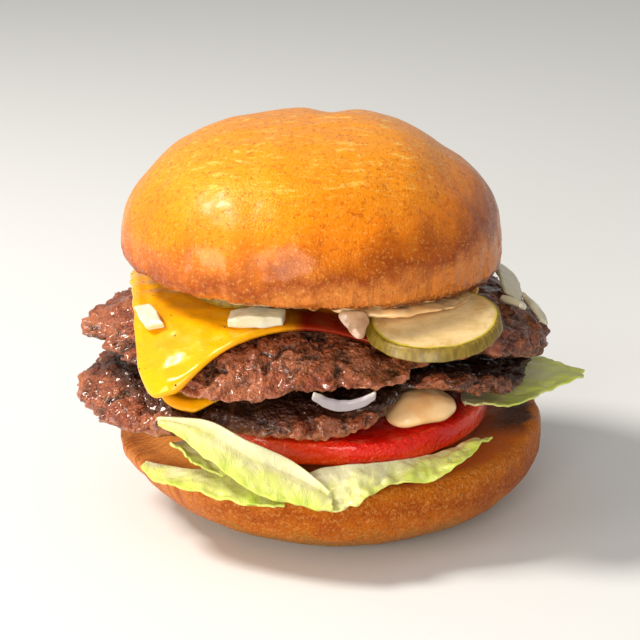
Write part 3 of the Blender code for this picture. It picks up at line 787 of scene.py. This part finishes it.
def tomatoMaterial():
    finish, tree, shader = newMaterial("ripeTomato", tomato["red"], 0.16, **{
        "Subsurface Weight": 0.15, "Subsurface Radius": (1.0, 0.15, 0.05), "Subsurface Scale": 0.002,
        "Specular Tint": (1.0, 0.6, 0.4, 1.0), "Coat Weight": 0.35, "Coat Roughness": 0.05,
    })
    spot = place(tree)
    parts = partsOf(tree, spot)
    field = grain(tree, spot, 6.0, 1.2, 1.6)
    low = spread(tree, plus(tree, parts[2], times(tree, field["Mottle"], 2.0)), 30.6, 26.0)
    left = spread(tree, plus(tree, parts[0], times(tree, field["Mottle"], 8.0)), 8.0, -18.0)
    share = maths(tree, "MAXIMUM", times(tree, low, 0.7), times(tree, left, 0.7))
    colour = mixed(tree, share, tomato["red"], tomato["orange"])
    right = spread(tree, parts[0], 30.0, 38.0)
    colour = mixed(tree, times(tree, right, 0.55), colour, tomato["flesh"])
    # the pale top edge, partly the cut flesh and partly a painted highlight
    colour = mixed(tree, times(tree, stored(tree, "rim"), 0.75), colour, tomato["cut"])
    tree.links.new(colour, shader.inputs["Base Color"])
    bumped(tree, shader, plus(tree, field["Grain"], field["Mottle"]), 0.3)
    return finish


def makeTomato():
    piece = bake(copyOf("tomato", "tomatoSlice"), subdivided(3), smoothed(1))
    points, normals = pointsOf(piece)
    top = tomato["topHeight"] + tomato["topSlope"] * points[:, 0]
    upper = rise(points[:, 2], top - 2.2, top)
    offset = 0.25 * smoothNoise(points, 8.0, 31) + 0.3 * upper * smoothNoise(points, 2.4, 32)
    points += normals * offset[:, None]
    movePoints(piece, points)
    inside = plumb(points, tomato["centre"])
    # where the pale top edge is painted: partly the cut flesh, partly a painted highlight
    jagged = points[:, 2] - top + 0.7 * smoothNoise(points, 1.6, 33) + 0.6 * smoothNoise(points, 4.0, 34)
    store(piece, "rim", rise(jagged, -0.5, 0.2) * (1 - rise(inside, 1.0, 2.4)))
    dress(piece, ["tomato"], tomatoMaterial())


pickle = {
    "flesh": rgb(232, 204, 148),
    "wet": rgb(214, 180, 116),
    "line": rgb(200, 182, 50),
    "skin": rgb(146, 120, 30),
    "darkSkin": rgb(118, 94, 20),
    "slices": {  # node: name, centre, radius, seed, and the height and slopes of a face that hangs down
        "pickle_right": ("rightPickle", (24.6, -37.0), 16.0, 51, (60.6, 0.07, 0.21)),
        "pickle_left": ("leftPickle", (-20, -17.5), 14.5, 52, None),
        "pickle_back": ("backPickle", (-11, 23), 15.0, 53, None),
    },
}


def pickleMaterial():
    finish, tree, shader = newMaterial("picklePiece", pickle["flesh"], 0.22, **{
        "Subsurface Weight": 0.15, "Subsurface Radius": (1.0, 0.8, 0.3), "Subsurface Scale": 0.0015,
        "Coat Weight": 0.12, "Coat Roughness": 0.15,
    })
    spot = place(tree)
    skin = stored(tree, "skin")
    soft = spread(tree, noiseNode(tree, spot, 4.0, 4.0, 0.6), 0.4, 0.65)
    wet = times(tree, soft, maths(tree, "MULTIPLY_ADD", stored(tree, "core"), 0.6))
    colour = mixed(tree, wet, pickle["flesh"], pickle["wet"])
    upright = stretched(tree, spot, (1.0, 1.0, 0.2))
    stripes = spread(tree, noiseNode(tree, upright, 0.9, 3.0), 0.35, 0.65)
    band = mixed(tree, stripes, pickle["skin"], pickle["darkSkin"])
    colour = mixed(tree, spread(tree, skin, 0.22, 0.5), colour, pickle["line"])
    colour = mixed(tree, spread(tree, skin, 0.55, 0.8), colour, band)
    tree.links.new(colour, shader.inputs["Base Color"])
    tree.links.new(spread(tree, skin, 0.4, 0.8, 0.22, 0.45), shader.inputs["Roughness"])
    bumped(tree, shader, noiseNode(tree, spot, 1.6, 3.0), 0.14)
    return finish


def makePickle(node, finish):
    name, centre, radius, seed, slope = pickle["slices"][node]
    piece = simplePiece(node, name, finish, 3, [(0.14, 4.0, seed)], dressed=False)
    points = pointsOf(piece)[0]
    inside = plumb(points, centre, 60)
    if slope:
        # the skin of a slice that hangs down leans outwards, so that it shows from above
        face = slope[0] + slope[1] * (points[:, 0] - centre[0]) + slope[2] * (points[:, 1] - centre[1])
        lean = np.clip((face - points[:, 2]) / 3.2, 0, 1) * (1 - rise(inside, 0.2, 1.6))
        lean *= rise(centre[1] - points[:, 1], -4, 4)
        points[:, :2] += 1.2 * lean[:, None] * outwards(points, centre)
        points[:, 2] -= 0.6 * lean
        movePoints(piece, points)
        inside = plumb(points, centre, 60)
    reach = radiusOf(points[:, :2] - np.array(centre))
    store(piece, "skin", rise(reach + 0.12 * smoothNoise(points, 3.0, seed), radius - 2.2, radius - 0.2))
    store(piece, "core", 1 - rise(inside, radius * 0.2, radius * 0.55))
    dress(piece, [node], finish)


onion = {
    "white": rgb(244, 232, 202),
    "shade": rgb(230, 218, 180),
    # painted shade: a greyer colour for the onion piece between the patties
    "lilac": rgb(176, 166, 170),  # for the piece between the patties
    "lilacBelow": 45.0,
}


def onionMaterial():
    finish, tree, shader = newMaterial("choppedOnion", onion["white"], 0.2, **{
        "Subsurface Weight": 0.4, "Subsurface Radius": (1.0, 0.95, 0.7), "Subsurface Scale": 0.003,
        "Coat Weight": 0.3, "Coat Roughness": 0.1, "Transmission Weight": 0.12,
    })
    spot = place(tree)
    lines = stretched(tree, spot, (0.5, 1.6, 1.0))
    shade = spread(tree, noiseNode(tree, lines, 2.0, 3.0), 0.35, 0.65)
    colour = mixed(tree, shade, onion["white"], onion["shade"])
    # the low onion piece between the patties is painted grey: painted shade
    low = spread(tree, partsOf(tree, spot)[2], onion["lilacBelow"] + 3.0, onion["lilacBelow"])
    colour = mixed(tree, low, colour, onion["lilac"])
    tree.links.new(colour, shader.inputs["Base Color"])
    bumped(tree, shader, noiseNode(tree, lines, 1.2, 2.0), 0.12)
    return finish


sauce = {
    "peach": rgb(255, 212, 154),
    "warm": rgb(252, 198, 134),
    "drip": rgb(196, 156, 120),
    "dripWarm": rgb(160, 112, 78),
    "dripPlace": (6.4, -40.4, 59.6),
    "dripLength": 3.0,  # half of its height
}


def sauceMaterial(name, pale, warm):
    finish, tree, shader = newMaterial(name, pale, 0.24, **{
        "Subsurface Weight": 0.2, "Subsurface Radius": (1.0, 0.6, 0.3), "Subsurface Scale": 0.002,
        "Coat Weight": 0.3, "Coat Roughness": 0.1,
    })
    spot = place(tree)
    colour = mixed(tree, spread(tree, noiseNode(tree, spot, 5.0, 3.0), 0.4, 0.6), pale, warm)
    tree.links.new(colour, shader.inputs["Base Color"])
    bumped(tree, shader, noiseNode(tree, spot, 2.4, 2.0), 0.1)
    return finish


def makeDrip():
    # a thin drip that runs from under the top bun over the edge of the cheese
    bm = bmesh.new()
    bmesh.ops.create_icosphere(bm, subdivisions=4, radius=1.0)
    piece = newPiece("sauceDrip", bm)
    points, normals = pointsOf(piece)
    points *= mm  # the ball is one unit in radius
    down = (1 - points[:, 2]) / 2
    ring = np.maximum(radiusOf(points), 1e-6) ** 0.6
    points[:, 0] = points[:, 0] / ring * (1.3 + 3.2 * np.clip(1 - down, 0, 1)) - 1.5 * (1 - down)
    points[:, 1] = points[:, 1] / ring * 0.5 - 3.0 * down
    points[:, 2] *= sauce["dripLength"]
    points += np.array(sauce["dripPlace"])
    points += 0.5 * smoothNoise(points, 2.6, 77)[:, None] * normals
    movePoints(piece, points)
    dress(piece, [], sauceMaterial("burgerDrip", sauce["drip"], sauce["dripWarm"]))


# Lettuce

leaves = {
    "lettuce_low": {
        "inner": [(-45.8, -34, 21.6), (-37, -40, 22), (-28, -43.5, 23), (-19, -46.5, 23.5), (-12, -49, 22.8)],
        "outer": [(-47.5, -36.5, 20.8), (-41.5, -45.5, 20.1), (-33, -51.6, 20.8), (-21, -57, 20.2),
                  (-11, -59, 19.2)],
        "thickness": 0.7, "ruffle": 0.5, "waves": 1.6, "seed": 1,
        "slot": "lettuce_green", "frill": 0.5, "green": 0.22,
    },
    "lettuce_curl": {
        "inner": [(-39.5, -37, 27), (-35, -39.5, 29), (-29, -41.5, 28.5), (-23, -43, 26)],
        "outer": [(-38.6, -45.5, 31.5), (-35.2, -47, 27.8), (-31, -47.6, 25.2), (-25, -49.5, 24)],
        "thickness": 0.7, "ruffle": 0.7, "waves": 1.2, "seed": 2,
        "slot": "lettuce_pale", "frill": 0.7, "green": 0.05,
    },
    "lettuce_rib": {
        "inner": [(-42, -45, 37.6), (-35.6, -47.2, 38.2), (-28.4, -49, 37.6), (-20, -51.2, 33.6),
                  (-9.4, -52, 28.6), (-0.4, -56.2, 23.4)],
        "outer": [(-41, -47.6, 35.4), (-35, -50, 33.2), (-27.6, -54.5, 28.6), (-18.4, -58, 23.2),
                  (-8, -60, 20.4), (0.4, -61, 18.6)],
        "thickness": 1.3, "ruffle": 0.3, "waves": 1.3, "seed": 3,
        # the rib leaf's green shifts it from white towards pale olive: partly its own colour and partly
        # painted shade on its belly
        "slot": "lettuce_pale", "frill": 0.5, "green": 0.14, "ridge": 1.5, "taper": 0.3,
    },
    "lettuce_front": {
        "inner": [(-9, -47.8, 24), (-1, -49.8, 26.6), (8, -49.8, 27.4), (16, -47, 27), (24.4, -42.6, 26.8),
                  (33, -35.6, 27)],
        "outer": [(-8, -54, 22), (-1.5, -57.5, 18.4), (2.8, -59.6, 19.6), (7.4, -57.6, 20.8),
                  (14.5, -52.6, 23.2), (25.5, -50.6, 23.6), (34, -45, 26.8), (40.5, -37.5, 31)],
        "thickness": 0.6, "ruffle": 0.7, "waves": 2.6, "seed": 4,
        "slot": "lettuce_pale", "frill": 1.5, "green": -0.1, "greenEnd": 0.4, "taper": 0.4, "jag": 1.6,
    },
    "lettuce_right": {
        "inner": [(31.5, -24, 33.3), (33, -17, 33.3), (34, -8, 33.3), (33, 4, 33.2), (31.5, 12, 33)],
        "outer": [(39.5, -28.5, 34), (47, -23, 32.6), (55, -14, 32.2), (66, -5, 33.8), (61, 5, 33.6),
                  (56, 12, 33)],
        "thickness": 0.6, "ruffle": 0.3, "waves": 2.2, "seed": 5,
        "slot": "lettuce_green", "frill": 0.6, "green": 0.06, "taper": 0.4, "jag": 0.7,
    },
    "lettuce_back": {
        "inner": [(34, 26, 23), (20, 31, 23), (4, 34, 23), (-12, 33, 23), (-27, 28, 22)],
        "outer": [(46, 34, 29.5), (27, 51, 26.4), (5, 57.5, 24.5), (-18, 55, 24), (-42, 38, 23)],
        "thickness": 0.7, "ruffle": 1.2, "waves": 3.4, "seed": 6,
        "slot": "lettuce_green", "frill": 1.1, "green": 0.25,
    },
}
leafColours = {
    "rib": rgb(232, 226, 180),
    "pale": rgb(216, 216, 126),
    "lime": rgb(202, 216, 84),
    "green": rgb(160, 186, 48),
}
leafBuild = {
    "grid": (110, 36),  # faces along and across
    "veins": 9.0,
    # the top of the bottom bun, on which the leaves lie inside this radius
    "bunHeight": 21.6,
    "bunSlope": 0.0014,
    "bunRadius": 55,
    "clearance": 0.3,
}


def curvePoint(points, share):
    # a point on a smooth curve through these points
    last = len(points) - 1
    part = min(int(share * last), last - 1)
    before = Vector(points[max(part - 1, 0)])
    start, end = Vector(points[part]), Vector(points[part + 1])
    after = Vector(points[min(part + 2, last)])
    first, second = start + (end - before) / 6, end - (after - start) / 6
    t = share * last - part
    return start * (1 - t) ** 3 + first * 3 * t * (1 - t) ** 2 + second * 3 * t**2 * (1 - t) + end * t**3


def leafMaterial(name, green, greenEnd):
    finish, tree, shader = newMaterial(name, leafColours["pale"], 0.34, **{
        "Subsurface Weight": 0.25, "Subsurface Radius": (0.8, 1.0, 0.3), "Subsurface Scale": 0.0015,
        "Specular Tint": (1.0, 0.97, 0.7, 1.0), "Coat Weight": 0.1, "Coat Roughness": 0.2,
    })
    spot = place(tree)
    across, along = stored(tree, "across"), stored(tree, "along")
    wander = times(tree, maths(tree, "SUBTRACT", noiseNode(tree, spot, 7.0, 4.0, 0.6), 0.5), 1.1)
    share = plus(tree, times(tree, across, 0.6), wander)
    share = plus(tree, share, plus(tree, times(tree, along, greenEnd), green))
    colour = ramp(tree, share, [
        (0.15, leafColours["rib"]), (0.5, leafColours["pale"]),
        (0.85, leafColours["lime"]), (1.15, leafColours["green"]),
    ])
    # thin veins fan out from the hidden edge
    veinPlace = addNode(tree, "ShaderNodeCombineXYZ", {
        0: times(tree, along, leafBuild["veins"]), 1: times(tree, across, 0.9)}).outputs[0]
    bent = noiseNode(tree, veinPlace, 0.55, 4.0, 0.6, 0.8)
    vein = spread(tree, maths(tree, "ABSOLUTE", maths(tree, "SUBTRACT", bent, 0.5)), 0.06, 0.0)
    colour = mixed(tree, times(tree, vein, 0.25), colour, leafColours["rib"])
    tree.links.new(colour, shader.inputs["Base Color"])
    height = plus(tree, times(tree, vein, 0.25), noiseNode(tree, spot, 2.4, 4.0, 0.55))
    bumped(tree, shader, height, 0.25)
    return finish


def makeLeaf(node):
    values = leaves[node]
    inner, outer, seed = values["inner"], values["outer"], values["seed"]
    taper, jagged = values.get("taper", 0.25), values.get("jag", 1.0)
    bm = bmesh.new()
    bmesh.ops.create_grid(bm, x_segments=leafBuild["grid"][0], y_segments=leafBuild["grid"][1], size=1)

    def point(along, across):
        width = 1 - taper * abs(2 * along - 1) ** 5
        return curvePoint(inner, along).lerp(curvePoint(outer, along), 0.5 + (across - 0.5) * width)

    alongs, acrosses = [], []
    step = 0.02
    for vert in bm.verts:
        along, across = (1 + vert.co.x) / 2, (1 + vert.co.y) / 2
        alongs.append(along)
        acrosses.append(across)
        jag = 0.09 * noise.noise(Vector((along * 14, seed, 0)))
        jag += 0.015 * noise.noise(Vector((along * 40, seed, 3)))
        end = 0.035 * noise.noise(Vector((across * 5, seed, 7))) * abs(2 * along - 1) ** 8
        shifted = min(1, max(0, along + end))
        here = point(shifted, across * (1 + jagged * jag * across))
        tangent = point(min(1, shifted + step), across) - point(max(0, shifted - step), across)
        outward = point(shifted, 1) - point(shifted, 0)
        normal = tangent.cross(outward).normalized()
        wave = math.sin(2 * math.pi * values["waves"] * along + seed)
        wave += 0.6 * noise.noise(here / 9 + Vector((seed, 2 * seed, -seed)))
        here += normal * values["ruffle"] * wave * across**1.4
        frill = noise.noise(here / 4.2) + 0.5 * noise.noise(here / 1.9)
        here += normal * values["frill"] * frill * (0.3 + across)
        here += normal * values.get("ridge", 0) * (math.exp(-((across - 0.3) / 0.16) ** 2) - 0.4)
        if math.hypot(here.x, here.y) < leafBuild["bunRadius"]:
            bunTop = leafBuild["bunHeight"] * (1 + leafBuild["bunSlope"] * here.x)
            here.z = max(here.z, bunTop + (values["thickness"] / 2 + leafBuild["clearance"]))
        vert.co = here * mm
    name = camelName(node)
    piece = newPiece(name, bm)
    store(piece, "along", np.array(alongs))
    store(piece, "across", np.array(acrosses))
    thickened = ("SOLIDIFY", {"thickness": values["thickness"] * mm, "offset": 0.0, "use_even_offset": True})
    bake(piece, thickened, subdivided(1))
    finish = leafMaterial(name + "Finish", values["green"], values.get("greenEnd", 0.0))
    dress(piece, [node], finish)


# Small things scattered over a piece

def buildScatterGroup():
    # small round bodies, spread over the faces whose stored value "shown" is above 0
    group = bpy.data.node_groups.new("scatterBodies", "GeometryNodeTree")
    kinds = {"Geometry": "Geometry", "Spread": "Float", "Smallest": "Float", "Largest": "Float",
             "Flatness": "Float", "Seed": "Int", "Finish": "Material"}
    sockets = {name: group.interface.new_socket(name, in_out="INPUT", socket_type="NodeSocket" + kind)
               for name, kind in kinds.items()}
    group.interface.new_socket("Geometry", in_out="OUTPUT", socket_type="NodeSocketGeometry")
    start = group.nodes.new("NodeGroupInput").outputs
    end = group.nodes.new("NodeGroupOutput")
    mask = addNode(group, "GeometryNodeInputNamedAttribute", {"Name": "shown"}, data_type="FLOAT")
    density = times(group, start["Spread"], mask.outputs["Attribute"])
    spreadOut = addNode(group, "GeometryNodeDistributePointsOnFaces", {
        "Mesh": start["Geometry"], "Density": density, "Seed": start["Seed"]})
    ball = addNode(group, "GeometryNodeMeshIcoSphere", {"Radius": 1.0, "Subdivisions": 1}).outputs[0]
    size = addNode(group, "FunctionNodeRandomValue", {
        "Min": start["Smallest"], "Max": start["Largest"], "Seed": start["Seed"]}, data_type="FLOAT")
    randomSize = next(socket for socket in size.outputs if socket.enabled)
    scale = addNode(group, "ShaderNodeCombineXYZ", {
        0: randomSize, 1: randomSize, 2: times(group, randomSize, start["Flatness"])}).outputs[0]
    placed = addNode(group, "GeometryNodeInstanceOnPoints", {
        "Points": spreadOut.outputs["Points"], "Instance": ball,
        "Rotation": spreadOut.outputs["Rotation"], "Scale": scale})
    solid = addNode(group, "GeometryNodeRealizeInstances", {0: placed.outputs[0]}).outputs[0]
    smooth = addNode(group, "GeometryNodeSetShadeSmooth", {"Geometry": solid}).outputs[0]
    finished = addNode(group, "GeometryNodeSetMaterial", {"Geometry": smooth, "Material": start["Finish"]})
    group.links.new(finished.outputs[0], end.inputs[0])
    return group, {name: socket.identifier for name, socket in sockets.items()}


def scatter(host, name, finish, **values):
    piece = bpy.data.objects.new(name, host.data.copy())
    scene.collection.objects.link(piece)
    modifier = piece.modifiers.new("Scatter", "NODES")
    modifier.node_group = scatterGroup
    modifier[scatterSockets["Finish"]] = finish
    for key, value in values.items():
        modifier[scatterSockets[key]] = value
    bake(piece)
    dress(piece, [], finish)


scatterGroup, scatterSockets = buildScatterGroup()
makeTopBun()
makeBottomBun()
beefFinish = beefMaterial()
# pale beads on the meat, partly real grease and partly painted glints
beadFinish = newMaterial("greaseBead", beef["fat"], 0.12, **{"Coat Weight": 0.5, "Coat Roughness": 0.05})[0]
for node, name, seed in (("patty_lower", "lowerPatty", 11), ("patty_upper", "upperPatty", 23)):
    patty = makePatty(node, name, seed, beefFinish)
    scatter(patty, name + "Grease", beadFinish, Seed=seed, **beef["beads"])
cheeseFinish = cheeseMaterial()
makeCheese("cheese_lower", "lowerCheese", cheeseFinish, 41)
upperCheese = makeCheese("cheese_upper", "upperCheese", cheeseFinish, 43)
pepperFinish = newMaterial("pepperSpeck", cheese["pepper"], 0.6)[0]
scatter(upperCheese, "pepperSpecks", pepperFinish, Seed=5, **cheese["specks"])
makeTomato()
pickleFinish = pickleMaterial()
for node in pickle["slices"]:
    makePickle(node, pickleFinish)
onionFinish = onionMaterial()
for number, node in enumerate(sorted(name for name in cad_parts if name.startswith("onion"))):
    bumps = [(0.3, 4.5, 61 + number), (0.12, 2.0, 81 + number)]
    simplePiece(node, camelName(node), onionFinish, 3, bumps, rounds=9, kind="SIMPLE")
sauceFinish = sauceMaterial("burgerSauce", sauce["peach"], sauce["warm"])
simplePiece("sauce_dollop", "sauceDollop", sauceFinish, 3, [(0.5, 7.0, 71), (0.15, 3.0, 72)])
simplePiece("sauce_top", "sauceTop", sauceFinish, 3, [(0.4, 5.0, 73), (0.3, 2.6, 74)])
makeDrip()
for node in leaves:
    makeLeaf(node)
